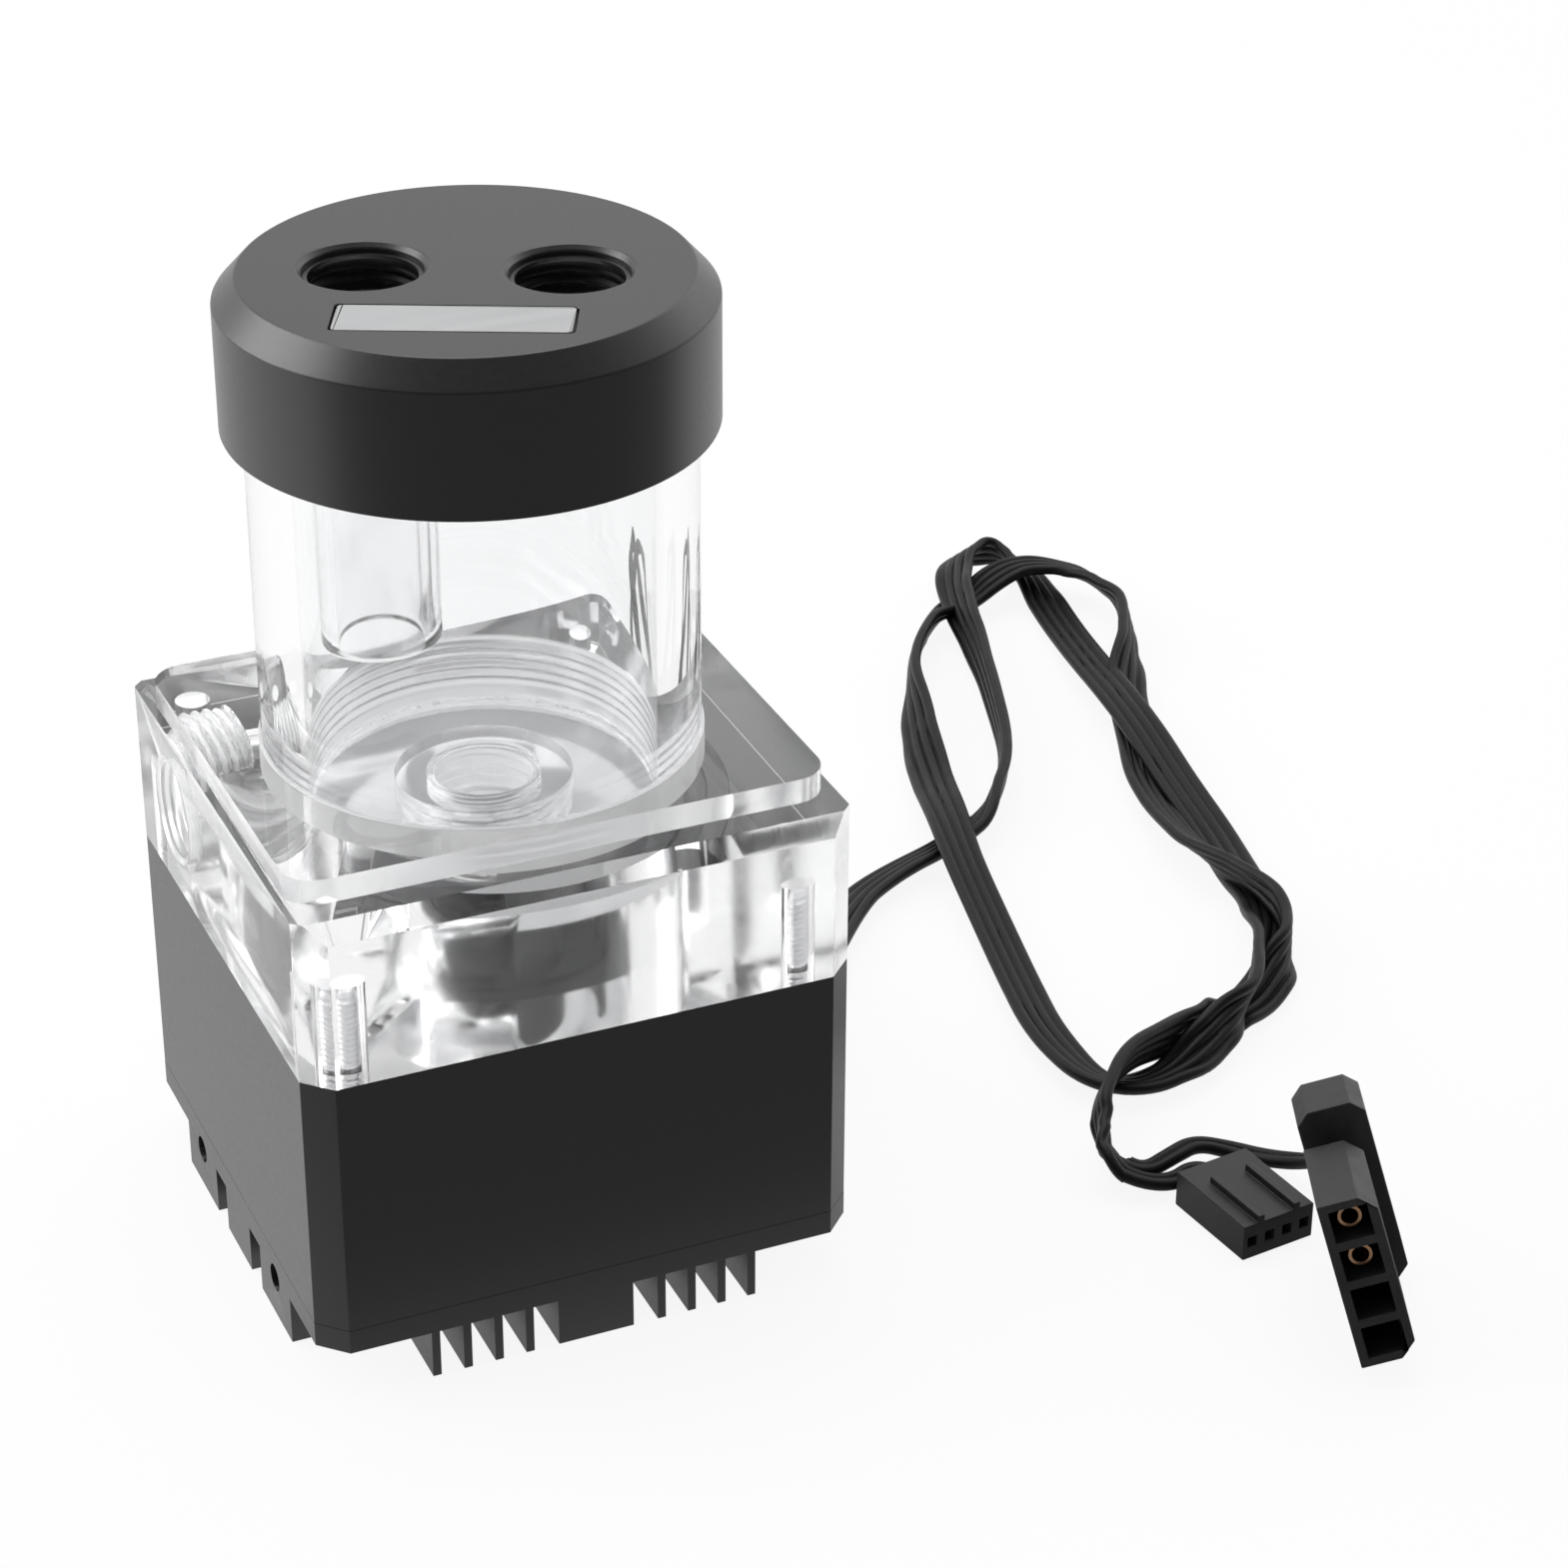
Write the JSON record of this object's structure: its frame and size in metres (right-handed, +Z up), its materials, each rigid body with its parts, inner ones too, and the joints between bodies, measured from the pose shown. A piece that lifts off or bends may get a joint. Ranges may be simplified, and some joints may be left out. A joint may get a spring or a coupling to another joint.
{
  "type": "coolant pump reservoir",
  "caption": "Small liquid cooling pump with a clear tube reservoir, screw cap, finned base and flat cable with a fan plug and a power plug.",
  "frame": {"origin": "centre of the square base where its fins stand on the surface", "axes": "+Z up along the reservoir tube, -Y towards the front face, -X towards the outlet port"},
  "size_m": [0.1784, 0.2111, 0.1191],
  "materials": {
    "black_anodised": "matte",
    "clear_acrylic": "gloss",
    "screw_steel": "satin",
    "seal_rubber": "matte",
    "seal_silicone": "satin",
    "black_plastic": "matte",
    "core_steel": "satin",
    "copper_winding": "gloss",
    "pad_silicone": "matte",
    "board_laminate": "satin",
    "chip_plastic": "matte",
    "pin_steel": "polished",
    "bearing_ceramic": "gloss",
    "magnet_ferrite": "matte",
    "plate_silver": "satin",
    "cable_sheath": "satin",
    "plug_plastic": "satin",
    "contact_brass": "satin",
    "contact_copper": "satin"
  },
  "bodies": {
    "base": {"heatsink_base": "black_anodised", "pump_housing": "black_anodised", "pump_top": "clear_acrylic", "body_screws": "screw_steel", "main_seal": "seal_rubber", "isolation_cup": "black_plastic", "stator_core": "core_steel", "stator_coils": "copper_winding", "thermal_pad": "pad_silicone", "circuit_board": "board_laminate", "board_components": "chip_plastic", "board_leads": "cable_sheath", "bearing_pin": "pin_steel", "bearing_ball": "bearing_ceramic", "reservoir_tube": "clear_acrylic", "tube_seal": "seal_silicone", "cable_grommet": "seal_rubber", "ribbon_cable": "cable_sheath", "fan_wires": "cable_sheath", "power_wires": "cable_sheath", "fan_plug": "plug_plastic", "fan_plug_contacts": "contact_brass", "power_plug": "plug_plastic", "power_plug_contacts": "contact_copper"},
    "rotor": {"impeller": "black_plastic", "rotor_magnet": "magnet_ferrite"},
    "cap_thread": {"cap_seal": "seal_silicone"},
    "cap": {"top_cap": "black_anodised", "nameplate": "plate_silver", "drop_tube": "clear_acrylic"}
  },
  "joints": [
    {"name": "impeller_spin", "type": "hinge", "parent": "base", "child": "rotor", "pos_m": [0, 0, 0.04], "axis": [0, 0, 1], "continuous": true},
    {"name": "cap_lift", "type": "slide", "parent": "base", "child": "cap_thread", "axis": [0, 0, 1], "range_m": [0, 0.006]},
    {"name": "cap_turn", "type": "hinge", "parent": "cap_thread", "child": "cap", "pos_m": [0, 0, 0.11], "axis": [0, 0, 1], "range_deg": [0, 1080]}
  ],
  "couplings": [
    {"joint": "cap_lift", "follows": "cap_turn", "m_per_rad": 0.00031831}
  ]
}
